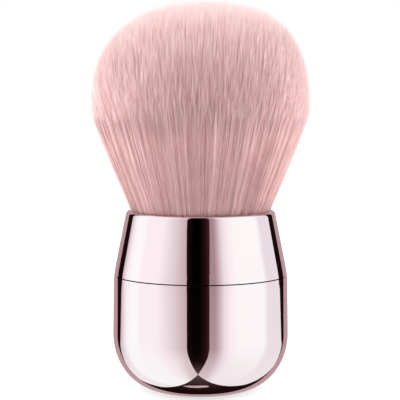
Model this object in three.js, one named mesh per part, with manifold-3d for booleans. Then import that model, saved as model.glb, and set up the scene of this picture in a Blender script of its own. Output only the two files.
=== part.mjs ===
// Nail dust brush: a domed tuft of soft filaments in a two-part polished handle.
// The collar and tuft unscrew from the weighted base on a coarse right-hand thread.
// Millimetres, +Z up. The origin is the centre of the flat face that the brush stands on.
import * as THREE from "three";
import { mergeGeometries, mergeVertices } from "three/addons/utils/BufferGeometryUtils.js";
import Module from "manifold-3d";

// Outside of the handle
const BASE_FLAT_RADIUS = 9;
const BASE_RADIUS = 20.4;
const BASE_CORNER_HEIGHT = 13;
const SEAM_HEIGHT = 26.85;
const SEAM_RADIUS = 20.2;
const SEAM_GAP = 0.3;
const SEAM_BEND = 2.3;
const COLLAR_HEIGHT = 14.85;
const COLLAR_TOP_RADIUS = 17.2;
const LIP_ROUND = 1;
const SHELL_WALL = 1;

// Clearance of a glue line or a loose seat
const FIT_GAP = 0.3;

// Inside of the base
const WEIGHT_HEIGHT = 5;
const PAD_THICKNESS = 2;
const PAD_MARGIN = 2.5;
const INSERT_WALL = 2;
const INSERT_FLANGE = 2.2;
const RIB_COUNT = 6;
const RIB_THICKNESS = 1.4;

// Screw thread between the base and the head
const THREAD_RADIUS = 7.6;
const THREAD_DEPTH = 1;
const THREAD_PITCH = 3;
const THREAD_TURNS = 1.25;
const THREAD_CREST_WIDTH = 0.6;
const THREAD_ROOT_WIDTH = 1.4;
const THREAD_CLEARANCE = 0.35;
const THREAD_LEAD = 0.5;
const STUD_BORE_RADIUS = 4.2;
const STUD_END_GAP = 0.6;
const SEAL_SECTION_RADIUS = 0.8;

// Inside of the collar
const CORE_FLOOR = 2;
const CORE_WALL = 0.8;
const SLEEVE_RIM_DEPTH = 5;
const CUP_WALL = 0.45;
const CUP_CORNER_RADIUS = 1.2;
const CUP_RIM_DEPTH = 2;
const ROOT_TOP_DEPTH = 4;

// Tuft
const TUFT_RADIUS = 25.4;
const TUFT_FLARE_HEIGHT = 23.1;
const TUFT_DOME_HEIGHT = 25.2;
const DOME_FULLNESS = 2.45;
const STRAND_PAIRS = 165;
const STRAND_FILL = 0.78;
const STRAND_BELLY_SHARE = 0.7;
const STRAND_TIP_SHARE = 0.4;

// Fineness of the round faces, and the depth to which joined solids sink into each other
const SHELL_SEGMENTS = 64;
const INNER_SEGMENTS = 40;
const THREAD_STEPS_PER_TURN = 32;
const ARC_STEPS = 8;
const BEND_STEPS = 3;
const CUP_CORNER_STEPS = 3;
const JOIN_SINK = 0.3;
const HEIGHT_TOLERANCE = 0.001;

const FULL_TURN = 2 * Math.PI;
const GOLDEN_ANGLE = Math.PI * (3 - Math.sqrt(5));

// Heights stacked up from the standing face
const weightBottom = SHELL_WALL + FIT_GAP;
const weightTop = weightBottom + WEIGHT_HEIGHT;
const padBottom = weightTop + FIT_GAP;
const bossBottom = padBottom + PAD_THICKNESS + FIT_GAP;
const socketFloor = bossBottom + INSERT_WALL;
const studBottom = socketFloor + STUD_END_GAP;

// Heights set out from the seam and from the top of the collar
const collarTop = SEAM_HEIGHT + COLLAR_HEIGHT;
const tuftShoulder = collarTop + TUFT_FLARE_HEIGHT;
const flangeBottom = SEAM_HEIGHT;
const insertTop = flangeBottom - FIT_GAP;
const sealHeight = flangeBottom - FIT_GAP - SEAL_SECTION_RADIUS;
const sealSeat = sealHeight - SEAL_SECTION_RADIUS - FIT_GAP;
const pocketFloor = flangeBottom + CORE_FLOOR;
const sleeveTop = collarTop - SLEEVE_RIM_DEPTH;
const cupBottom = pocketFloor + FIT_GAP;
const cupTop = collarTop - CUP_RIM_DEPTH;
const rootBottom = cupBottom + CUP_WALL + FIT_GAP;
const rootTop = collarTop - ROOT_TOP_DEPTH;

// Thread radii, and the height of each ridge's middle where it starts
const studRadius = THREAD_RADIUS - THREAD_DEPTH;
const socketRadius = THREAD_RADIUS + THREAD_CLEARANCE;
const maleStart = studBottom + THREAD_LEAD + THREAD_ROOT_WIDTH / 2;
const femaleStart = maleStart + THREAD_PITCH / 2;
const sealRadius = studRadius + FIT_GAP + SEAL_SECTION_RADIUS;

// Radius of a straight-sided outline at a height between two points on it.
function slopedRadius(height, low, high) {
  const [lowRadius, lowHeight] = low;
  const [highRadius, highHeight] = high;
  const share = (height - lowHeight) / (highHeight - lowHeight);
  return lowRadius + share * (highRadius - lowRadius);
}

function baseSideRadius(height) {
  return slopedRadius(height, [BASE_RADIUS, BASE_CORNER_HEIGHT], [SEAM_RADIUS, SEAM_HEIGHT]);
}

function collarRadius(height) {
  return slopedRadius(height, [SEAM_RADIUS, SEAM_HEIGHT], [COLLAR_TOP_RADIUS, collarTop]);
}

// Outer radius of the collar's core, which is glued inside the collar
function coreRadius(height) {
  return collarRadius(height) - SHELL_WALL - FIT_GAP;
}

// The cup's pocket leaves the core its wall at the narrower end of the sleeve
const pocketRadius = Math.min(coreRadius(sleeveTop), coreRadius(pocketFloor)) - CORE_WALL;
const cupRadius = pocketRadius - FIT_GAP;

// Points of a flat curve as [radius, height].
function pointsOn(curve, steps = ARC_STEPS) {
  return curve.getPoints(steps).map((point) => [point.x, point.y]);
}

// The handle's side between two heights near the seam, where it bends from the base into the collar.
function bentSide(bottom, top) {
  const bendBottom = SEAM_HEIGHT - SEAM_BEND;
  const bendTop = SEAM_HEIGHT + SEAM_BEND;
  const bend = new THREE.QuadraticBezierCurve(
    new THREE.Vector2(baseSideRadius(bendBottom), bendBottom),
    new THREE.Vector2(SEAM_RADIUS, SEAM_HEIGHT),
    new THREE.Vector2(collarRadius(bendTop), bendTop),
  );
  const points = [];
  for (let step = 0; step <= BEND_STEPS; step++) {
    const height = bottom + (step / BEND_STEPS) * (top - bottom);
    const share = (height - bendBottom) / (bendTop - bendBottom);
    points.push([bend.getPoint(share).x, height]);
  }
  return points;
}

// The base's rounded corner, moved in by an inset, from the flat up to a height.
function baseCorner(inset, topHeight = BASE_CORNER_HEIGHT) {
  const width = BASE_RADIUS - BASE_FLAT_RADIUS - inset;
  const depth = BASE_CORNER_HEIGHT - inset;
  const endAngle = Math.asin((topHeight - BASE_CORNER_HEIGHT) / depth);
  return pointsOn(new THREE.EllipseCurve(
    BASE_FLAT_RADIUS, BASE_CORNER_HEIGHT, width, depth, -Math.PI / 2, endAngle));
}

// The bristle cup's bottom corner, moved in by an inset.
function cupCorner(inset) {
  const radius = CUP_CORNER_RADIUS - inset;
  const arc = new THREE.EllipseCurve(
    cupRadius - CUP_CORNER_RADIUS, cupBottom + CUP_CORNER_RADIUS, radius, radius, -Math.PI / 2, 0);
  return pointsOn(arc, CUP_CORNER_STEPS);
}

// Turns an outline of [radius, height] points round the Z axis. It runs anticlockwise round the material.
function turned(outline, segments) {
  const points = outline.map(([radius, height]) => new THREE.Vector2(radius, height));
  return new THREE.LatheGeometry(points, segments).rotateX(Math.PI / 2);
}

// Turns an outline that stays clear of the axis and closes on itself.
function turnedRing(outline, segments) {
  return turned([...outline, outline[0]], segments);
}

// A closed body through rings of points, whose corners run anticlockwise seen from the last ring.
function loft(rings) {
  const corners = rings[0].length;
  const last = (rings.length - 1) * corners;
  const faces = [];
  for (let ring = 0; ring < rings.length - 1; ring++) {
    for (let corner = 0; corner < corners; corner++) {
      const next = (corner + 1) % corners;
      const here = ring * corners;
      const above = here + corners;
      faces.push(here + corner, here + next, above + next);
      faces.push(here + corner, above + next, above + corner);
    }
  }
  for (let corner = 1; corner < corners - 1; corner++) {
    faces.push(0, corner + 1, corner);
    faces.push(last, last + corner, last + corner + 1);
  }
  return new THREE.BufferGeometry().setFromPoints(rings.flat()).setIndex(faces);
}

// Point at a radius, angle and height about the Z axis.
function polar(radius, angle, height) {
  return new THREE.Vector3(radius * Math.cos(angle), radius * Math.sin(angle), height);
}

const wasm = await Module();
wasm.setup();

function solidOf(geometry) {
  const bare = geometry.clone();
  bare.deleteAttribute("normal");
  bare.deleteAttribute("uv");
  const merged = mergeVertices(bare);
  const vertProperties = new Float32Array(merged.attributes.position.array);
  const triVerts = new Uint32Array(merged.index.array);
  return new wasm.Manifold(new wasm.Mesh({ numProp: 3, vertProperties, triVerts }));
}

// Joins geometries into one closed body.
function joined(first, ...others) {
  const solid = others.reduce((sum, other) => sum.add(solidOf(other)), solidOf(first));
  const mesh = solid.getMesh();
  const geometry = new THREE.BufferGeometry();
  geometry.setAttribute("position", new THREE.BufferAttribute(mesh.vertProperties, mesh.numProp));
  geometry.setIndex(new THREE.BufferAttribute(mesh.triVerts, 1));
  geometry.computeVertexNormals();
  return geometry;
}

// One ridge of the thread, from an inner to an outer radius, rising anticlockwise from angle 0.
function threadRidge(innerRadius, innerWidth, outerRadius, outerWidth, startHeight) {
  const steps = Math.round(THREAD_TURNS * THREAD_STEPS_PER_TURN);
  const rings = [];
  for (let step = 0; step <= steps; step++) {
    const turns = (step / steps) * THREAD_TURNS;
    const angle = turns * FULL_TURN;
    const height = startHeight + turns * THREAD_PITCH;
    rings.push([
      polar(innerRadius, angle, height + innerWidth / 2),
      polar(outerRadius, angle, height + outerWidth / 2),
      polar(outerRadius, angle, height - outerWidth / 2),
      polar(innerRadius, angle, height - innerWidth / 2),
    ]);
  }
  return loft(rings);
}

// Drawn metal cup that forms the lower half of the handle
function baseShell() {
  const top = SEAM_HEIGHT - SEAM_GAP / 2;
  return turned(
    [
      [0, 0],
      ...baseCorner(0),
      ...bentSide(SEAM_HEIGHT - SEAM_BEND, top),
      [baseSideRadius(top) - SHELL_WALL, top],
      ...baseCorner(SHELL_WALL).reverse(),
      [0, SHELL_WALL],
    ],
    SHELL_SEGMENTS,
  );
}

// Cast weight that nests in the rounded bottom of the base
function counterweight() {
  const side = baseCorner(weightBottom, weightTop);
  return turned([[0, weightBottom], ...side, [0, weightTop]], INNER_SEGMENTS);
}

// Foam disc that holds the weight down under the insert
function weightPad() {
  const weightTopRadius = baseCorner(weightBottom, weightTop).at(-1)[0];
  const radius = weightTopRadius - PAD_MARGIN;
  const disc = new THREE.CylinderGeometry(radius, radius, PAD_THICKNESS, INNER_SEGMENTS);
  return disc.rotateX(Math.PI / 2).translate(0, 0, padBottom + PAD_THICKNESS / 2);
}

// Moulded insert glued into the base: a skirt, a ribbed boss and the female thread
function baseInsert() {
  const sealSeatRadius = sealRadius + SEAL_SECTION_RADIUS + FIT_GAP;
  const bossRadius = Math.max(socketRadius, sealSeatRadius) + INSERT_WALL;
  const skirtTopRadius = baseSideRadius(insertTop) - SHELL_WALL - FIT_GAP;
  const skirtFootRadius = BASE_RADIUS - SHELL_WALL - FIT_GAP;
  const flangeUnderside = insertTop - INSERT_FLANGE;
  const body = turned(
    [
      [0, bossBottom],
      [bossRadius, bossBottom],
      [bossRadius, flangeUnderside],
      [skirtTopRadius - INSERT_WALL, flangeUnderside],
      [skirtFootRadius - INSERT_WALL, BASE_CORNER_HEIGHT],
      [skirtFootRadius, BASE_CORNER_HEIGHT],
      [skirtTopRadius, insertTop],
      [sealSeatRadius, insertTop],
      [sealSeatRadius, sealSeat],
      [socketRadius, sealSeat],
      [socketRadius, socketFloor],
      [0, socketFloor],
    ],
    INNER_SEGMENTS,
  );

  const skirtInnerRadius = Math.max(skirtTopRadius, skirtFootRadius) - INSERT_WALL;
  const ribLength = skirtInnerRadius - bossRadius + 2 * JOIN_SINK;
  const ribHeight = flangeUnderside - BASE_CORNER_HEIGHT + JOIN_SINK;
  const ribs = [];
  for (let rib = 0; rib < RIB_COUNT; rib++) {
    const box = new THREE.BoxGeometry(ribLength, RIB_THICKNESS, ribHeight);
    box.translate(bossRadius - JOIN_SINK + ribLength / 2, 0, BASE_CORNER_HEIGHT + ribHeight / 2);
    ribs.push(box.rotateZ((rib / RIB_COUNT) * FULL_TURN));
  }

  const crestRadius = studRadius + THREAD_CLEARANCE;
  const thread = threadRidge(
    crestRadius, THREAD_CREST_WIDTH, socketRadius + JOIN_SINK, THREAD_ROOT_WIDTH, femaleStart);
  return joined(body, ...ribs, thread);
}

// Silicone ring on the neck of the stud, squeezed as the head is screwed home
function sealRing() {
  const ring = new THREE.TorusGeometry(sealRadius, SEAL_SECTION_RADIUS, ARC_STEPS, INNER_SEGMENTS);
  return ring.translate(0, 0, sealHeight);
}

// Drawn metal collar with a rounded mouth
function collarShell() {
  const bottom = SEAM_HEIGHT + SEAM_GAP / 2;
  const lipBottom = collarTop - LIP_ROUND;
  const lip = new THREE.QuadraticBezierCurve(
    new THREE.Vector2(collarRadius(lipBottom), lipBottom),
    new THREE.Vector2(COLLAR_TOP_RADIUS, collarTop),
    new THREE.Vector2(COLLAR_TOP_RADIUS - SHELL_WALL, collarTop),
  );
  return turnedRing(
    [
      [collarRadius(bottom) - SHELL_WALL, bottom],
      ...bentSide(bottom, SEAM_HEIGHT + SEAM_BEND),
      ...pointsOn(lip),
    ],
    SHELL_SEGMENTS,
  );
}

// Moulded core of the collar: a sleeve round the bristle cup, a floor and the threaded stud
function collarCore() {
  const body = turned(
    [
      [0, flangeBottom],
      [STUD_BORE_RADIUS, flangeBottom],
      [STUD_BORE_RADIUS, studBottom],
      [studRadius, studBottom],
      [studRadius, flangeBottom],
      [coreRadius(flangeBottom), flangeBottom],
      [coreRadius(sleeveTop), sleeveTop],
      [pocketRadius, sleeveTop],
      [pocketRadius, pocketFloor],
      [0, pocketFloor],
    ],
    INNER_SEGMENTS,
  );
  const thread = threadRidge(
    studRadius - JOIN_SINK, THREAD_ROOT_WIDTH, THREAD_RADIUS, THREAD_CREST_WIDTH, maleStart);
  return joined(body, thread);
}

// Drawn cup that holds the root of the tuft
function bristleCup() {
  return turned(
    [
      [0, cupBottom],
      ...cupCorner(0),
      [cupRadius, cupTop],
      [cupRadius - CUP_WALL, cupTop],
      ...cupCorner(CUP_WALL).reverse(),
      [0, cupBottom + CUP_WALL],
    ],
    INNER_SEGMENTS,
  );
}

// Radius of the flaring tuft at a height, before its dome closes in.
function flareRadius(height) {
  const mouthRadius = COLLAR_TOP_RADIUS - SHELL_WALL - FIT_GAP;
  return slopedRadius(height, [mouthRadius, collarTop], [TUFT_RADIUS, tuftShoulder]);
}

// Radius of a strand's section: its share of the room between neighbours, which grows with the flare.
function strandRadius(height) {
  return (STRAND_FILL * flareRadius(height)) / Math.sqrt(2 * STRAND_PAIRS);
}

// Distance of a strand's middle from the axis. The outermost strands lie just inside the flare.
function strandOffset(share, height) {
  return share * (flareRadius(height) - strandRadius(height));
}

// Height at which a strand's tip reaches the dome.
function tipHeight(share) {
  let low = tuftShoulder;
  let high = tuftShoulder + TUFT_DOME_HEIGHT;
  while (high - low > HEIGHT_TOLERANCE) {
    const height = (low + high) / 2;
    const reach = strandOffset(share, height) + STRAND_TIP_SHARE * strandRadius(height);
    const up = (height - tuftShoulder) / TUFT_DOME_HEIGHT;
    const inside = (reach / TUFT_RADIUS) ** DOME_FULLNESS + up ** DOME_FULLNESS < 1;
    if (inside) low = height;
    else high = height;
  }
  return low;
}

// One three-sided strand, from inside the resin to the dome. It keeps to its own sector, so none cross.
function strand(share, angle) {
  const start = rootTop - JOIN_SINK;
  const tip = tipHeight(share);
  const belly = start + STRAND_BELLY_SHARE * (tip - start);
  const sections = [
    [start, 1],
    [belly, 1],
    [tip, STRAND_TIP_SHARE],
  ];
  const rings = sections.map(([height, thickness]) => {
    const centre = polar(strandOffset(share, height), angle, height);
    const corners = [0, 1, 2].map((corner) => angle + (corner / 3) * FULL_TURN);
    return corners.map((turn) => polar(thickness * strandRadius(height), turn, 0).add(centre));
  });
  return loft(rings);
}

// Filaments set out in a two-fold sunflower pattern, potted in a disc of resin
function bristleTuft() {
  const rootRadius = cupRadius - CUP_WALL - FIT_GAP;
  const root = turned(
    [[0, rootBottom], ...cupCorner(CUP_WALL + FIT_GAP), [rootRadius, rootTop], [0, rootTop]],
    INNER_SEGMENTS,
  );
  const strands = [];
  for (let pair = 0; pair < STRAND_PAIRS; pair++) {
    const share = Math.sqrt((pair + 0.5) / STRAND_PAIRS);
    const angle = (pair * GOLDEN_ANGLE) / 2;
    strands.push(strand(share, angle), strand(share, angle + Math.PI));
  }
  return joined(root, mergeGeometries(strands));
}

function piece(name, geometry, color, roughness, metalness) {
  const material = new THREE.MeshStandardMaterial({ color, roughness, metalness });
  const mesh = new THREE.Mesh(geometry, material);
  mesh.name = name;
  return mesh;
}

const ROSE_GOLD = 0xecc9c6;
const CHARCOAL_PLASTIC = 0x424042;

const base = new THREE.Group();
base.add(
  piece("base_shell", baseShell(), ROSE_GOLD, 0.05, 1),
  piece("counterweight", counterweight(), 0x55565a, 0.6, 1),
  piece("weight_pad", weightPad(), 0x2c2c2e, 0.95, 0),
  piece("base_insert", baseInsert(), CHARCOAL_PLASTIC, 0.5, 0),
);

const head = new THREE.Group();
head.add(
  piece("seal_ring", sealRing(), 0xdbd9d4, 0.4, 0),
  piece("collar_shell", collarShell(), ROSE_GOLD, 0.05, 1),
  piece("collar_core", collarCore(), CHARCOAL_PLASTIC, 0.5, 0),
  piece("bristle_cup", bristleCup(), 0xc9cacc, 0.35, 1),
  piece("bristle_tuft", bristleTuft(), 0xd9b0ae, 0.8, 0),
);

const brush = new THREE.Group();
brush.name = "nail_dust_brush";
brush.add(base, head);

export default brush;
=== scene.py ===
import math

import bmesh
import bpy
import numpy as np
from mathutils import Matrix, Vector
from mathutils.kdtree import KDTree

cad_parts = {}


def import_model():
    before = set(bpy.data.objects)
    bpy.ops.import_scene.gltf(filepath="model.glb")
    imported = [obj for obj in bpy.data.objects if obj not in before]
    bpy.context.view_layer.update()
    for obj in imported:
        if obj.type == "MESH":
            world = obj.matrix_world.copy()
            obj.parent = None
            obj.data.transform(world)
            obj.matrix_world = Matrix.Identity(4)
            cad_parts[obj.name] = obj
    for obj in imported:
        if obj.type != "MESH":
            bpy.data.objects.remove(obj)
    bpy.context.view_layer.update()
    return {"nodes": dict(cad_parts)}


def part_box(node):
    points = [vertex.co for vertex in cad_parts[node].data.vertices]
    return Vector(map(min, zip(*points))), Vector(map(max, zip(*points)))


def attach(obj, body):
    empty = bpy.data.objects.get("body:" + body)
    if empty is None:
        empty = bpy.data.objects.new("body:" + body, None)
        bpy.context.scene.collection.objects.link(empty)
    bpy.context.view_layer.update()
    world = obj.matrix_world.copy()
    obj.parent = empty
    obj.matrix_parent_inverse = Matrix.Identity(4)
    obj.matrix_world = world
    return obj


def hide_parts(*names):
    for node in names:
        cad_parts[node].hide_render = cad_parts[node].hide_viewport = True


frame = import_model()

# Lengths are in millimetres up to where a mesh is made, and MM turns them into metres
MM = 0.001

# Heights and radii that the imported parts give
base_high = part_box("base_shell")[1] / MM
collar_low, collar_high = [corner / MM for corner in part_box("collar_shell")]
tuft_low, tuft_high = [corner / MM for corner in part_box("bristle_tuft")]
BASE_RADIUS = base_high.x
SEAM_HEIGHT = (base_high.z + collar_low.z) / 2
COLLAR_TOP = collar_high.z
ROOT_BOTTOM = tuft_low.z
TUFT_TOP = tuft_high.z

# Polished shells, as the part's source sizes them, with a slightly finer seam
BASE_FLAT_RADIUS = 9.0
BASE_CORNER_HEIGHT = 13.0
SEAM_RADIUS = 20.2
SEAM_WIDTH = 0.25
SEAM_BEND = 2.3
COLLAR_TOP_RADIUS = 17.2
SHELL_WALL = 1.0
LIP_ROUND = 1.0
LIP_HUG = 0.85
BASE_SLOPE = (SEAM_RADIUS - BASE_RADIUS) / (SEAM_HEIGHT - BASE_CORNER_HEIGHT)
COLLAR_SLOPE = (COLLAR_TOP_RADIUS - SEAM_RADIUS) / (COLLAR_TOP - SEAM_HEIGHT)

# Fineness of the turned meshes
TURN_SEGMENTS = 256
CORNER_STEPS = 40
BEND_STEPS = 12
MERGE_DISTANCE = 0.001
SHARP_ANGLE = math.radians(40)

# Tuft: its outline, close to the one in the part's source
ROOT_RADIUS = 15.05
ROOT_DEPTH = 4.0
ROOT_TOP = COLLAR_TOP - ROOT_DEPTH
MOUTH_GAP = 0.15
MOUTH_RADIUS = COLLAR_TOP_RADIUS - SHELL_WALL - MOUTH_GAP
FLARE_HEIGHT = 23.1
FLARE_BULGE = 0.3
SHOULDER_HEIGHT = COLLAR_TOP + FLARE_HEIGHT
TUFT_RADIUS = 25.4
UPRIGHT_LENGTH = 14.0
DOME_SPARE = 0.4
DOME_HEIGHT = TUFT_TOP - SHOULDER_HEIGHT + DOME_SPARE
DOME_FULLNESS = 2.52
PEAK_SHIFT = 1.6

# Tuft: its filaments, which lie in fine locks that weave in and out
FIBRE_COUNT = 60000
FIBRE_PIECES = 12
FIBRE_SIDES = 3
FIBRE_RADIUS = 0.064
FIBRE_ROOT_SHARE = 0.5
FIBRE_TIP_SHARE = 0.2
FIBRE_BELLY = 0.7
FIBRE_RING_SHARES = (0.0, 0.3, 0.55, 0.76, 0.92)
FIBRE_SINK = 0.3
FIBRE_SWAY = 0.04
LOCK_COUNT = 8000
LOCK_PULL = (0.004, 0.02)
LOCK_PULL_SKEW = 0.8
LOCK_GATHER = 0.1
LOCK_SWAY = 0.08
LOCK_WAVE = 0.03
LOCK_WAVE_RISE = 0.3
LOCK_TURNS = (0.6, 1.6)
TIP_SHORTFALL = 1.0
MAX_SHORTFALL = 5.0
TIP_SEARCH_DEPTH = 4.0
TIP_SEARCH_STEPS = 24
GOLDEN_ANGLE = math.pi * (3 - math.sqrt(5))
SCATTER = 0.12
SEED = 7

# Tuft: its dye, with painted light along its length, mapped across by tone and along by length
FIBRE_MAP = "OFBake"
TONE_RANGE = (0.05, 0.95)
TONE_SPREAD = 0.004
TONE_LIMITS = (0.02, 0.98)
TONE_STRIP = 0.012
TONE_DRIFT = 1.2
TONE_CELLS = 60
LENGTH_CELLS = 8

# Materials: their noise, and the stops and the grain of mottled ones
NOISE_DETAIL = 3.0
MOTTLE_STOPS = (0.3, 0.7)
GRAIN_SCALE = 2500.0
GRAIN_STRENGTH = 0.5

# Camera, fitted to the photograph's seam, rim and outline. Pixels are those of a 400-pixel frame.
FRAME_PIXELS = 400
FOCAL_PIXELS = 1311.7
SENSOR_WIDTH = 36.0
CAMERA_DISTANCE = 305.0
CAMERA_PITCH = math.radians(4.26)
CAMERA_TARGET_HEIGHT = 44.12
CAMERA_SIDE = -0.13

# Studio, in metres
CLIP_RANGE = (0.01, 100.0)
LAMP_DISTANCE = 0.5
FLOOR_HALF_WIDTH = 6.0
TENT_RADIUS = 12.0
TENT_TOP = 30.0
TENT_DEPTH = 1.0
SHEET_REACH = 13.0
SHEET_STEP = 0.02
MIDDLE_RADIUS = 1.1
ROOM_RADIUS = 14.0
ROOM_DEPTH = 3.0

# Studio: the fineness of its curved surfaces
TENT_STEPS = 40
ROUND_SEGMENTS = 48

# Tent: where its cloths meet, as (right, front) in metres, and their edges, in degrees from the front
MEETING = (-0.055, 0.58)
GAP_HEIGHTS = (-TENT_DEPTH, 3.1, 3.7, TENT_TOP)
GAP_LEFT = (-17.8, -18.3, -20.6, -20.6)
GAP_RIGHT = (11.3, 11.7, 13.5, 13.5)
LEFT_END = -126.0
RIGHT_END = 125.5
BACK_ENDS = (142.5, 217.5)

# Floor: the scale of its mottle, and the light it shows the camera far from the brush and at its foot
PAPER_SCALE = 3.0
FLOOR_SHOWN = (0.97, 0.5)

# Tints of the floor and the fill light, and of the studio cloth that the polished metal mirrors
WHITE = (1.0, 1.0, 1.0)
PAPER_DARK = (0.45, 0.45, 0.45)
PAPER_PALE = (0.47, 0.47, 0.47)
FILL = (1.0, 0.80, 0.79)
SNOW = (1.05, 1.24, 1.22)
FROST = (1.0, 1.21, 1.19)
BLUSH = (1.02, 1.10, 1.12)
PETAL = (0.92, 1.03, 1.03)
PEARL = (0.86, 0.93, 0.97)
DUSK = (0.73, 0.73, 0.75)
MAUVE = (0.58, 0.49, 0.54)
ROSE = (0.37, 0.27, 0.30)
RUST = (0.50, 0.36, 0.385)
MAROON = (0.055, 0.015, 0.022)
WINE = (0.018, 0.004, 0.007)
BROWN = (0.10, 0.07, 0.07)
SOOT = (0.011, 0.004, 0.004)
BLACK = (0.0, 0.0, 0.0)


def new_material(name, **sockets):
    """A material with one Principled shader, whose named sockets are set, and its node tree."""
    made = bpy.data.materials.new(name)
    made.use_nodes = True
    shader = made.node_tree.nodes["Principled BSDF"]
    for socket, value in sockets.items():
        shader.inputs[socket.replace("_", " ")].default_value = value
    return made, made.node_tree, shader


def colour(red, green, blue):
    return (red, green, blue, 1.0)


def object_place(tree):
    return tree.nodes.new("ShaderNodeTexCoord").outputs["Object"]


def noise(tree, place, scale):
    """The factor of a noise texture of that scale, in features to the metre."""
    node = tree.nodes.new("ShaderNodeTexNoise")
    node.inputs["Scale"].default_value = scale
    node.inputs["Detail"].default_value = NOISE_DETAIL
    tree.links.new(place, node.inputs["Vector"])
    return node.outputs["Fac"]


def ramp(tree, value, stops):
    """A colour ramp over value through (place, colour) stops."""
    node = tree.nodes.new("ShaderNodeValToRGB")
    elements = node.color_ramp.elements
    while len(elements) < len(stops):
        elements.new(0.5)
    for element, (place, stop) in zip(elements, stops):
        element.position = place
        element.color = stop
    tree.links.new(value, node.inputs["Fac"])
    return node.outputs["Color"]


def drifting(tree, place, scale, dark, pale):
    """A tint that drifts between two shades, at a scale in features to the metre."""
    stops = list(zip(MOTTLE_STOPS, (colour(*dark), colour(*pale))))
    return ramp(tree, noise(tree, place, scale), stops)


def ranged(tree, value, low, high):
    """Value, from 0 to 1, turned into a number from low to high."""
    node = tree.nodes.new("ShaderNodeMapRange")
    node.inputs["To Min"].default_value = low
    node.inputs["To Max"].default_value = high
    tree.links.new(value, node.inputs["Value"])
    return node.outputs["Result"]


def mixed(tree, first, kind):
    """A colour mix node of that kind on the first colour."""
    node = tree.nodes.new("ShaderNodeMix")
    node.data_type = "RGBA"
    node.blend_type = kind
    tree.links.new(first, node.inputs["A"])
    return node


def bump(tree, shader, height, depth):
    """A grain of that depth, in metres, on the shader's normal."""
    node = tree.nodes.new("ShaderNodeBump")
    node.inputs["Strength"].default_value = GRAIN_STRENGTH
    node.inputs["Distance"].default_value = depth
    tree.links.new(height, node.inputs["Height"])
    tree.links.new(node.outputs["Normal"], shader.inputs["Normal"])


def mottled(name, dark, pale, scale, roughness, grain=0.0, grain_scale=GRAIN_SCALE, **sockets):
    """A material whose colour drifts between two shades, with a roughness range and a fine grain."""
    made, tree, shader = new_material(name, **sockets)
    place = object_place(tree)
    tree.links.new(drifting(tree, place, scale, dark, pale), shader.inputs["Base Color"])
    fine = noise(tree, place, grain_scale)
    tree.links.new(ranged(tree, fine, *roughness), shader.inputs["Roughness"])
    if grain:
        bump(tree, shader, fine, grain)
    return made


def bristle_material():
    """Dyed filament: its map runs across by tone and along by length, from the root to the tip, and
    painted light makes it paler towards the tip.
    """
    made, tree, shader = new_material("bristle_filament", Specular_IOR_Level=0.08)
    place = tree.nodes.new("ShaderNodeUVMap")
    place.uv_map = FIBRE_MAP
    parts = tree.nodes.new("ShaderNodeSeparateXYZ")
    tree.links.new(place.outputs["UV"], parts.inputs["Vector"])
    tone, along = parts.outputs["X"], parts.outputs["Y"]
    # Painted light: the dye is lightest at four fifths of the length and pale at the tip, standing in for
    # light through the tips and lifting the shade at the tuft's shoulder
    dye_and_painted_light = ramp(tree, along, [
        (0.0, colour(0.88, 0.655, 0.65)),
        (0.5, colour(0.89, 0.665, 0.66)),
        (0.8, colour(0.96, 0.735, 0.73)),
        (1.0, colour(0.90, 0.74, 0.735)),
    ])
    cells = tree.nodes.new("ShaderNodeMapping")
    cells.inputs["Scale"].default_value = (TONE_CELLS, LENGTH_CELLS, 1)
    tree.links.new(place.outputs["UV"], cells.inputs["Vector"])
    drift = ranged(tree, noise(tree, cells.outputs["Vector"], 1.0), -TONE_DRIFT, TONE_DRIFT)
    uneven = tree.nodes.new("ShaderNodeMath")
    tree.links.new(tone, uneven.inputs[0])
    tree.links.new(drift, uneven.inputs[1])
    shade = ramp(tree, uneven.outputs["Value"], [(0.0, colour(0.82, 0.71, 0.70)), (1.0, colour(*WHITE))])
    mix = mixed(tree, dye_and_painted_light, "MULTIPLY")
    mix.inputs["Factor"].default_value = 1.0
    tree.links.new(shade, mix.inputs["B"])
    tree.links.new(mix.outputs["Result"], shader.inputs["Base Color"])
    tree.links.new(ranged(tree, along, 0.45, 0.65), shader.inputs["Roughness"])
    return made


def rose_gold_material():
    return mottled(
        "rose_gold_plating", (0.935, 0.745, 0.765), (0.945, 0.755, 0.775), 60.0, (0.02, 0.04),
        Metallic=1.0)


def resin_material():
    return mottled(
        "bristle_resin", (0.55, 0.36, 0.35), (0.66, 0.45, 0.44), 700.0, (0.35, 0.6), grain=0.00005)


def mesh_object(name, mesh, material):
    made = bpy.data.objects.new(name, mesh)
    mesh.materials.append(material)
    bpy.context.scene.collection.objects.link(made)
    return made


def turned(name, outline, material):
    """A smooth body: an outline of (radius, height) points, turned round the Z axis."""
    shape = bmesh.new()
    points = [shape.verts.new((radius * MM, 0, height * MM)) for radius, height in outline]
    edges = [shape.edges.new(pair) for pair in zip(points, points[1:])]
    bmesh.ops.spin(
        shape, geom=points + edges, cent=(0, 0, 0), axis=(0, 0, 1),
        angle=2 * math.pi, steps=TURN_SEGMENTS, use_merge=True)
    bmesh.ops.remove_doubles(shape, verts=shape.verts, dist=MERGE_DISTANCE * MM)
    bmesh.ops.recalc_face_normals(shape, faces=shape.faces)
    for face in shape.faces:
        face.smooth = True
    mesh = bpy.data.meshes.new(name)
    shape.to_mesh(mesh)
    shape.free()
    mesh.set_sharp_from_angle(angle=SHARP_ANGLE)
    return mesh_object(name, mesh, material)


def arc(centre, radii, start, end):
    """Points on an ellipse's arc, between two angles in degrees."""
    angles = np.radians(np.linspace(start, end, CORNER_STEPS + 1))
    return [(centre[0] + radii[0] * math.cos(a), centre[1] + radii[1] * math.sin(a)) for a in angles]


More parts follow.
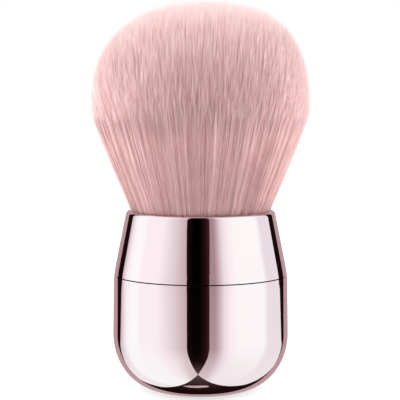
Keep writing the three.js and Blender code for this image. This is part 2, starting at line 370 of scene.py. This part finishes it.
def rounded(start, corner, end):
    """Points round a corner, on a curve that hugs it."""
    share = np.linspace(0, 1, CORNER_STEPS + 1)[:, None]
    rest = 1 - share
    start, corner, end = np.array(start), np.array(corner), np.array(end)
    first, last = start + LIP_HUG * (corner - start), end + LIP_HUG * (corner - end)
    leaving = rest ** 3 * start + 3 * rest ** 2 * share * first
    arriving = 3 * rest * share ** 2 * last + share ** 3 * end
    return [tuple(point) for point in leaving + arriving]


def side_radius(height):
    """Radius of the handle's side, which bends at the seam from the base's slope into the collar's."""
    above = height - SEAM_HEIGHT
    if abs(above) > SEAM_BEND:
        return SEAM_RADIUS + above * (COLLAR_SLOPE if above > 0 else BASE_SLOPE)
    share = (above + SEAM_BEND) / (2 * SEAM_BEND)
    return SEAM_RADIUS + SEAM_BEND * (COLLAR_SLOPE * share ** 2 - BASE_SLOPE * (1 - share) ** 2)


def side(bottom, top):
    """Points up the handle's side between two heights."""
    return [(side_radius(height), height) for height in np.linspace(bottom, top, BEND_STEPS + 1)]


def base_cup(material):
    """Polished cup of the base."""
    centre = (BASE_FLAT_RADIUS, BASE_CORNER_HEIGHT)
    width, depth = BASE_RADIUS - BASE_FLAT_RADIUS, BASE_CORNER_HEIGHT
    outside = arc(centre, (width, depth), -90, 0)
    inside = arc(centre, (width - SHELL_WALL, depth - SHELL_WALL), 0, -90)
    top = SEAM_HEIGHT - SEAM_WIDTH / 2
    mouth = [*side(SEAM_HEIGHT - SEAM_BEND, top), (SEAM_RADIUS - SHELL_WALL, top)]
    made = turned("base_cup", [(0, 0), *outside, *mouth, *inside, (0, SHELL_WALL)], material)
    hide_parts("base_shell")
    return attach(made, "base")


def collar_sleeve(material):
    """Polished tapered collar with a rounded lip."""
    bottom = SEAM_HEIGHT + SEAM_WIDTH / 2
    inner_foot = (SEAM_RADIUS - SHELL_WALL, bottom)
    lip_foot = COLLAR_TOP - LIP_ROUND
    lip = rounded(
        (side_radius(lip_foot), lip_foot), (COLLAR_TOP_RADIUS, COLLAR_TOP),
        (COLLAR_TOP_RADIUS - SHELL_WALL, COLLAR_TOP))
    outline = [inner_foot, *side(bottom, SEAM_HEIGHT + SEAM_BEND), *lip, inner_foot]
    made = turned("collar_sleeve", outline, material)
    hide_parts("collar_shell")
    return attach(made, "head")


def resin_root(material):
    """Disc of resin that pots the filaments' roots."""
    outline = [(0, ROOT_BOTTOM), (ROOT_RADIUS, ROOT_BOTTOM), (ROOT_RADIUS, ROOT_TOP), (0, ROOT_TOP)]
    made = turned("tuft_root", outline, material)
    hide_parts("bristle_tuft")
    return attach(made, "head")


def flare_radius(height):
    """Radius of the outermost filaments at a height: flaring to the shoulder, then bending upright."""
    share = np.clip((height - COLLAR_TOP) / FLARE_HEIGHT, 0, 1)
    slope = (TUFT_RADIUS - MOUTH_RADIUS) / FLARE_HEIGHT
    above = np.maximum(height - SHOULDER_HEIGHT, 0)
    eased = UPRIGHT_LENGTH * (1 - np.exp(-above / UPRIGHT_LENGTH))
    flare = slope * (np.minimum(height, SHOULDER_HEIGHT) - COLLAR_TOP + eased)
    return MOUTH_RADIUS + flare + FLARE_BULGE * np.sin(math.pi * share)


def tip_heights(spots):
    """Height at which each filament meets the dome, which peaks a little to one side."""
    low = np.full(len(spots), SHOULDER_HEIGHT - TIP_SEARCH_DEPTH)
    high = np.full(len(spots), SHOULDER_HEIGHT + DOME_HEIGHT)
    for _ in range(TIP_SEARCH_STEPS):
        height = (low + high) / 2
        up = np.clip((height - SHOULDER_HEIGHT) / DOME_HEIGHT, 0, 1)
        place = spots * flare_radius(height)[:, None]
        reach = np.hypot(place[:, 0] - PEAK_SHIFT * up ** 3, place[:, 1])
        inside = (reach / TUFT_RADIUS) ** DOME_FULLNESS + up ** DOME_FULLNESS < 1
        low = np.where(inside, height, low)
        high = np.where(inside, high, height)
    return low


def scattered(rng, count):
    """Points strewn evenly over the unit disc."""
    index = np.arange(count)
    reach = np.sqrt((index + 0.5) / count)
    angle = index * GOLDEN_ANGLE
    spots = np.stack([reach * np.cos(angle), reach * np.sin(angle)], 1)
    spots += rng.normal(0, SCATTER * math.sqrt(math.pi / count), (count, 2))
    return spots / np.maximum(np.hypot(*spots.T), 1)[:, None]


def nearest(points, targets):
    """Index of the target nearest to each point of the unit disc."""
    tree = KDTree(len(targets))
    for index, (x, y) in enumerate(targets):
        tree.insert((x, y, 0), index)
    tree.balance()
    return np.array([tree.find((x, y, 0))[1] for x, y in points])


def filaments():
    """Centre lines, ring by ring, and the tone and twist of every filament."""
    rng = np.random.default_rng(SEED)
    locks = scattered(rng, LOCK_COUNT)
    spots = scattered(rng, FIBRE_COUNT)
    lock = nearest(spots, locks)
    pull = rng.uniform(*LOCK_PULL, LOCK_COUNT)[lock]
    sway = rng.normal(0, LOCK_SWAY, (LOCK_COUNT, 2))[lock]
    sway += rng.normal(0, FIBRE_SWAY, (FIBRE_COUNT, 2))
    turns = 2 * math.pi * rng.uniform(*LOCK_TURNS, (LOCK_COUNT, 2))[lock]
    phase = rng.uniform(0, 2 * math.pi, (LOCK_COUNT, 2))[lock]
    outward = spots / np.hypot(*spots.T)[:, None]
    sideways = np.stack([-outward[:, 1], outward[:, 0]], 1)
    tone = rng.uniform(*TONE_RANGE, LOCK_COUNT)[lock] + rng.normal(0, TONE_SPREAD, FIBRE_COUNT)
    tips = tip_heights(spots) - np.minimum(rng.exponential(TIP_SHORTFALL, FIBRE_COUNT), MAX_SHORTFALL)
    roots = ROOT_TOP - FIBRE_SINK
    lines = []
    for share in (*FIBRE_RING_SHARES, 1.0):
        height = roots + share * (tips - roots)
        gather = pull * math.sin(math.pi * share ** LOCK_PULL_SKEW) + LOCK_GATHER * share
        place = spots + (locks[lock] - spots) * gather[:, None]
        place = place * flare_radius(height)[:, None] + sway * share ** 2
        wave = LOCK_WAVE * min(1, share / LOCK_WAVE_RISE) ** 2 * np.sin(turns * share + phase)
        place += outward * wave[:, :1] + sideways * wave[:, 1:]
        lines.append(np.column_stack([place, height]))
    return np.stack(lines, 1), np.clip(tone, *TONE_LIMITS), rng.uniform(0, 2 * math.pi, FIBRE_COUNT)


def filament_tubes(lines, twist):
    """Points of one tapering tube for each centre line: its rings, and then its tip."""
    shares = np.array(FIBRE_RING_SHARES)
    turns = twist[:, None] + np.arange(FIBRE_SIDES) * 2 * math.pi / FIBRE_SIDES
    section = np.stack([np.cos(turns), np.sin(turns), np.zeros_like(turns)], -1)[:, None]
    taper = FIBRE_ROOT_SHARE + (1 - FIBRE_ROOT_SHARE) * np.minimum(shares / FIBRE_BELLY, 1)
    taper -= (1 - FIBRE_TIP_SHARE) * np.clip((shares - FIBRE_BELLY) / (1 - FIBRE_BELLY), 0, 1) ** 2
    rings = lines[:, :-1, None] + FIBRE_RADIUS * taper[None, :, None, None] * section
    return np.concatenate([rings.reshape(len(lines), -1, 3), lines[:, -1:]], 1)


def tube_faces():
    """Corners of the faces of one tube, in one row, and the number of corners of each face."""
    rings = len(FIBRE_RING_SHARES)
    corner = np.arange(FIBRE_SIDES)
    following = (corner + 1) % FIBRE_SIDES
    below = (np.arange(rings - 1) * FIBRE_SIDES)[:, None]
    above = below + FIBRE_SIDES
    quads = np.stack([below + corner, below + following, above + following, above + corner], -1)
    last = (rings - 1) * FIBRE_SIDES
    tip = np.full(FIBRE_SIDES, rings * FIBRE_SIDES)
    peaks = np.column_stack([last + corner, last + following, tip])
    sizes = [4] * (quads.size // 4) + [3] * FIBRE_SIDES + [FIBRE_SIDES]
    return np.concatenate([quads.ravel(), peaks.ravel(), corner[::-1]]), np.array(sizes)


def filament_mesh(name, lines, tone, twist):
    """One closed three-sided tapering tube for each centre line, mapped by tone and length."""
    points = filament_tubes(lines, twist)
    count, per_fibre = points.shape[:2]
    pattern, sizes = tube_faces()
    corners = (pattern[None] + (np.arange(count) * per_fibre)[:, None]).ravel()
    starts = np.cumsum(np.tile(sizes, count)) - np.tile(sizes, count)

    mesh = bpy.data.meshes.new(name)
    mesh.vertices.add(count * per_fibre)
    mesh.vertices.foreach_set("co", (points * MM).astype(np.float32).ravel())
    mesh.loops.add(len(corners))
    mesh.loops.foreach_set("vertex_index", corners.astype(np.int32))
    mesh.polygons.add(len(starts))
    mesh.polygons.foreach_set("loop_start", starts.astype(np.int32))
    mesh.polygons.foreach_set("use_smooth", np.ones(len(starts), bool))

    strip = TONE_STRIP * (np.arange(FIBRE_SIDES) / (FIBRE_SIDES - 1) - 0.5)
    across = np.append(np.tile(strip, len(FIBRE_RING_SHARES)), 0.0)
    along = np.append(np.repeat(FIBRE_RING_SHARES, FIBRE_SIDES), 1.0)
    spots = np.stack([tone[:, None] + across, np.tile(along, (count, 1))], -1)
    uv = mesh.uv_layers.new(name=FIBRE_MAP)
    uv.uv.foreach_set("vector", spots.reshape(-1, 2)[corners].astype(np.float32).ravel())
    mesh.update(calc_edges=True)
    return mesh


def tuft(material):
    """The filaments, as one piece for each sector of the tuft."""
    lines, tone, twist = filaments()
    angle = np.arctan2(lines[:, 0, 1], lines[:, 0, 0]) / (2 * math.pi) + 0.5
    sector = np.minimum((angle * FIBRE_PIECES).astype(int), FIBRE_PIECES - 1)
    for index in range(FIBRE_PIECES):
        name = f"tuft_sector_{index + 1}"
        chosen = sector == index
        mesh = filament_mesh(name, lines[chosen], tone[chosen], twist[chosen])
        made = mesh_object(name, mesh, material)
        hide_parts("bristle_tuft")
        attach(made, "head")


def dress_inner_parts():
    """Finishes of the parts inside the handle, some of which show when the head is unscrewed."""
    plastic = mottled(
        "charcoal_plastic", (0.048, 0.045, 0.048), (0.062, 0.058, 0.062), 150.0, (0.38, 0.52),
        grain=0.00001)
    finishes = {
        "base_insert": plastic,
        "collar_core": plastic,
        "counterweight": mottled(
            "cast_iron", (0.09, 0.09, 0.095), (0.17, 0.165, 0.16), 400.0, (0.5, 0.8),
            grain=0.00006, grain_scale=1800.0, Metallic=1.0),
        "weight_pad": mottled(
            "pad_foam", (0.02, 0.02, 0.022), (0.045, 0.045, 0.048), 900.0, (0.85, 1.0), grain=0.0001),
        "seal_ring": mottled(
            "seal_silicone", (0.68, 0.66, 0.62), (0.74, 0.72, 0.68), 300.0, (0.35, 0.5)),
        "bristle_cup": mottled(
            "cup_aluminium", (0.74, 0.74, 0.75), (0.80, 0.80, 0.81), 200.0, (0.25, 0.4), Metallic=1.0),
    }
    for node, finish in finishes.items():
        frame["nodes"][node].data.materials.clear()
        frame["nodes"][node].data.materials.append(finish)


def glow(name, tint):
    """Plain light of one tint, and the nodes with which the tint can be changed over the surface."""
    made = bpy.data.materials.new(name)
    made.use_nodes = True
    made.cycles.emission_sampling = "NONE"
    tree = made.node_tree
    tree.nodes.clear()
    light = tree.nodes.new("ShaderNodeEmission")
    light.inputs["Color"].default_value = colour(*tint)
    out = tree.nodes.new("ShaderNodeOutputMaterial")
    tree.links.new(light.outputs["Emission"], out.inputs["Surface"])
    return made, tree, light


def gradient(tree, kind):
    node = tree.nodes.new("ShaderNodeTexGradient")
    node.gradient_type = kind
    tree.links.new(object_place(tree), node.inputs["Vector"])
    return node.outputs["Fac"]


def azimuth_tint(tree, by_azimuth):
    """A tint that follows the azimuth through (degrees, tint) stops."""
    stops = [(0.5 + degrees / 360, colour(*tint)) for degrees, tint in by_azimuth]
    return ramp(tree, gradient(tree, "RADIAL"), stops)


def cloth(name, far, near, near_reach):
    """Lit cloth: its tint goes from the near azimuth stops, below the brush, to the far ones."""
    made, tree, light = glow(name, BLACK)
    away = tree.nodes.new("ShaderNodeVectorMath")
    away.operation = "LENGTH"
    tree.links.new(object_place(tree), away.inputs["Vector"])
    share = tree.nodes.new("ShaderNodeMath")
    share.operation = "DIVIDE"
    share.use_clamp = True
    share.inputs[0].default_value = near_reach
    tree.links.new(away.outputs["Value"], share.inputs[1])
    mix = mixed(tree, azimuth_tint(tree, far), "MIX")
    tree.links.new(azimuth_tint(tree, near), mix.inputs["B"])
    tree.links.new(share.outputs["Value"], mix.inputs["Factor"])
    tree.links.new(mix.outputs["Result"], light.inputs["Color"])
    return made


def mirrored_only(made):
    """A part of the studio that only reflections show."""
    made.visible_camera = False
    made.visible_diffuse = False
    made.visible_transmission = False
    made.visible_shadow = False


def around(degrees, radius, height):
    """Point at an azimuth from the front, growing to the right of the picture, in metres."""
    angle = math.radians(degrees)
    return (radius * math.sin(angle), -radius * math.cos(angle), height)


def studio_piece(name, wall, sheet, material, depth=TENT_DEPTH):
    """A wall through rows of (height, from, to) azimuths, and a flat sheet of (right, front) points below.

    Its local X axis points at the front, so that an azimuth is an angle about its Z axis."""
    points, faces = [], []
    for row, (height, start, end) in enumerate(wall):
        points += [around(stop, TENT_RADIUS, height) for stop in np.linspace(start, end, TENT_STEPS + 1)]
        if row:
            above = row * (TENT_STEPS + 1)
            below = above - TENT_STEPS - 1
            faces += [(below + i, below + i + 1, above + i + 1, above + i) for i in range(TENT_STEPS)]
    faces.append(tuple(range(len(points), len(points) + len(sheet))))
    points += [(right, -front, -depth) for right, front in sheet]
    mesh = bpy.data.meshes.new(name)
    mesh.from_pydata([(-y, x, z) for x, y, z in points], [], faces)
    made = mesh_object(name, mesh, material)
    made.rotation_euler = (0, 0, -math.pi / 2)
    mirrored_only(made)


def tent_left():
    """Pale cloth at the left, which runs on below the brush to the meeting point."""
    wall = [(height, LEFT_END, edge) for height, edge in zip(GAP_HEIGHTS, GAP_LEFT)]
    sheet = [
        MEETING, (-0.72, 2.4), (-1.28, 4.06), (-3.85, TENT_RADIUS), (-SHEET_REACH, TENT_RADIUS),
        (-SHEET_REACH, -7.05), (-9.7, -7.05), (-3.3, -2.9), (-1.33, -1.6), (-0.72, -1.15), (-0.43, -0.6)]
    far = [
        (LEFT_END, MAUVE), (-118, PEARL), (-113, BLUSH), (-104, SNOW), (-92, SNOW), (-84, BLUSH),
        (-58, BLUSH), (-46, PEARL), (-34, DUSK), (-20, MAUVE)]
    near = [(LEFT_END, PETAL), (-114, FROST), (-66, FROST), (-50, BLUSH), (-36, PETAL), (-20, DUSK)]
    studio_piece("tent_left", wall, sheet, cloth("tent_left_cloth", far, near, near_reach=1.8))


def tent_right():
    """Pale cloth at the right, which runs on below the brush to the meeting point."""
    wall = [(height, edge, RIGHT_END) for height, edge in zip(GAP_HEIGHTS, GAP_RIGHT)]
    sheet = [
        MEETING, (0.36, 2.08), (0.85, 4.25), (2.45, TENT_RADIUS), (SHEET_REACH, TENT_RADIUS),
        (SHEET_REACH, -7), (9.8, -7), (2.75, -2.83), (1.23, -1.54), (0.52, -0.6), (0.3, -0.15)]
    far = [
        (12, ROSE), (19, ROSE), (24, MAUVE), (31, PEARL), (39, BLUSH), (50, SNOW), (91, SNOW),
        (100, PEARL), (RIGHT_END, PEARL)]
    near = [(12, DUSK), (24, PEARL), (40, PETAL), (RIGHT_END, PETAL)]
    studio_piece("tent_right", wall, sheet, cloth("tent_right_cloth", far, near, near_reach=1.0))


def tent_gap():
    """Dark cloth in the gap between the pale ones, at the front."""
    foot = (-ROOM_DEPTH, GAP_LEFT[0], GAP_RIGHT[0])
    wall = [foot, *zip(GAP_HEIGHTS[1:], GAP_LEFT[1:], GAP_RIGHT[1:])]
    sheet = [MEETING, (2.6, TENT_RADIUS), (-4, TENT_RADIUS)]
    far = [(-19.8, SOOT), (-10, BLACK), (-1, BLACK), (7, WINE), (12, MAROON)]
    near = [(-20, BROWN), (12, BROWN)]
    material = cloth("gap_cloth", far, near, near_reach=0.12)
    studio_piece("tent_gap", wall, sheet, material, depth=TENT_DEPTH + 3 * SHEET_STEP)


def tent_back():
    """Rose cloth behind the brush, which its outermost edges mirror."""
    wall = [(height, *BACK_ENDS) for height in (-TENT_DEPTH, TENT_TOP)]
    edge = [(0.69, -1.17), (1.28, -1.56), (3.2, -3.85), (7.3, -9.52), (10.0, -13.04)]
    sheet = [(0, -0.88), *edge, *[(-right, front) for right, front in reversed(edge)]]
    studio_piece("tent_back", wall, sheet, glow("back_cloth", RUST)[0], depth=TENT_DEPTH + SHEET_STEP)


def tent_slit():
    """Sliver of light that shows low on the base."""
    sheet = [
        (-0.23, -0.11), (-0.16, -0.03), (0.0, 0.01), (0.08, 0.0), (0.115, -0.055), (0.07, -0.1),
        (-0.02, -0.125), (-0.12, -0.14)]
    studio_piece("tent_slit", [], sheet, glow("slit_light", MAUVE)[0])


def tent_middle():
    """Brown disc round the meeting point, which fades into the dark."""
    disc = bmesh.new()
    bmesh.ops.create_circle(disc, cap_ends=True, segments=ROUND_SEGMENTS, radius=1)
    mesh = bpy.data.meshes.new("tent_middle")
    disc.to_mesh(mesh)
    disc.free()
    material, tree, light = glow("middle_cloth", BROWN)
    tint = ramp(tree, gradient(tree, "QUADRATIC_SPHERE"), [(0.0, colour(*SOOT)), (1.0, colour(*BROWN))])
    tree.links.new(tint, light.inputs["Color"])
    made = mesh_object("tent_middle", mesh, material)
    made.location = (MEETING[0], -MEETING[1], -TENT_DEPTH - 2 * SHEET_STEP)
    made.scale = [MIDDLE_RADIUS] * 3
    mirrored_only(made)


def dark_room():
    """Dark wall and ground behind the cloths, open at the top."""
    room = bmesh.new()
    bmesh.ops.create_cone(
        room, cap_ends=True, segments=ROUND_SEGMENTS, radius1=ROOM_RADIUS, radius2=ROOM_RADIUS,
        depth=TENT_TOP + ROOM_DEPTH)
    bmesh.ops.translate(room, verts=room.verts, vec=(0, 0, (TENT_TOP - ROOM_DEPTH) / 2))
    ceiling = max(room.faces, key=lambda face: face.calc_center_median().z)
    bmesh.ops.delete(room, geom=[ceiling], context="FACES_ONLY")
    mesh = bpy.data.meshes.new("dark_room")
    room.to_mesh(mesh)
    room.free()
    mirrored_only(mesh_object("dark_room", mesh, glow("dark_wall", SOOT)[0]))


def light_tent():
    """What the polished metal mirrors: two pale cloths that meet below it, with dark gaps between."""
    tent_left()
    tent_right()
    tent_gap()
    tent_back()
    tent_slit()
    tent_middle()
    dark_room()


def floor():
    """Pale floor that shows white and keeps a soft shadow."""
    half = FLOOR_HALF_WIDTH
    corners = [(-half, -half, 0), (half, -half, 0), (half, half, 0), (-half, half, 0)]
    mesh = bpy.data.meshes.new("floor")
    mesh.from_pydata(corners, [], [(0, 1, 2, 3)])
    made, tree, shader = new_material(
        "floor_paper", Roughness=0.9, Specular_IOR_Level=0.0, Emission_Color=colour(*WHITE))
    tint = drifting(tree, object_place(tree), PAPER_SCALE, PAPER_DARK, PAPER_PALE)
    tree.links.new(tint, shader.inputs["Base Color"])
    rays = tree.nodes.new("ShaderNodeLightPath")
    shown = tree.nodes.new("ShaderNodeMath")
    shown.operation = "MULTIPLY"
    tree.links.new(rays.outputs["Is Camera Ray"], shown.inputs[0])
    tree.links.new(ranged(tree, gradient(tree, "QUADRATIC_SPHERE"), *FLOOR_SHOWN), shown.inputs[1])
    tree.links.new(shown.outputs["Value"], shader.inputs["Emission Strength"])
    paper = mesh_object("floor", mesh, made)
    paper.visible_glossy = False


def world(fill):
    """White to the camera and in reflections, and an even blush fill light for everything else."""
    made = bpy.data.worlds.new("studio_world")
    made.use_nodes = True
    tree = made.node_tree
    background = tree.nodes["Background"]
    rays = tree.nodes.new("ShaderNodeLightPath")
    shown = rays.outputs["Is Camera Ray"]
    for kind in ("Is Glossy Ray", "Is Transmission Ray"):
        either = tree.nodes.new("ShaderNodeMath")
        either.operation = "MAXIMUM"
        tree.links.new(shown, either.inputs[0])
        tree.links.new(rays.outputs[kind], either.inputs[1])
        shown = either.outputs["Value"]
    tint = ramp(tree, shown, [(0.0, colour(*FILL)), (1.0, colour(*WHITE))])
    tree.links.new(tint, background.inputs["Color"])
    tree.links.new(ranged(tree, shown, fill, 1.0), background.inputs["Strength"])
    bpy.context.scene.world = made


def softbox(name, azimuth, elevation, size, power, tint=WHITE):
    """A soft rectangular lamp aimed at the middle of the brush."""
    lamp = bpy.data.lights.new(name, "AREA")
    lamp.shape = "RECTANGLE"
    lamp.size, lamp.size_y = size
    lamp.energy = power
    lamp.color = tint
    made = bpy.data.objects.new(name, lamp)
    bpy.context.scene.collection.objects.link(made)
    middle = Vector((0, 0, CAMERA_TARGET_HEIGHT * MM))
    rise = math.radians(elevation)
    made.location = middle + Vector(
        around(azimuth, math.cos(rise) * LAMP_DISTANCE, math.sin(rise) * LAMP_DISTANCE))
    made.rotation_euler = (middle - made.location).to_track_quat("-Z", "Y").to_euler()
    made.visible_glossy = False


def camera():
    lens = bpy.data.cameras.new("camera")
    lens.sensor_width = SENSOR_WIDTH
    lens.lens = FOCAL_PIXELS / FRAME_PIXELS * SENSOR_WIDTH
    lens.clip_start, lens.clip_end = CLIP_RANGE
    made = bpy.data.objects.new("camera", lens)
    bpy.context.scene.collection.objects.link(made)
    ahead = Vector((0, math.cos(CAMERA_PITCH), -math.sin(CAMERA_PITCH)))
    made.location = (Vector((CAMERA_SIDE, 0, CAMERA_TARGET_HEIGHT)) - ahead * CAMERA_DISTANCE) * MM
    made.rotation_euler = ahead.to_track_quat("-Z", "Y").to_euler()
    bpy.context.scene.camera = made


rose_gold = rose_gold_material()
base_cup(rose_gold)
collar_sleeve(rose_gold)
resin_root(resin_material())
tuft(bristle_material())
dress_inner_parts()

light_tent()
floor()
world(fill=0.3)
softbox("lamp_left", azimuth=-88, elevation=28, size=(0.4, 0.6), power=4.6)
softbox("lamp_right", azimuth=88, elevation=28, size=(0.4, 0.6), power=4.7)
softbox("lamp_front", azimuth=0, elevation=14, size=(0.4, 0.4), power=1.3, tint=FILL)
camera()
bpy.context.scene.view_settings.view_transform = "Standard"
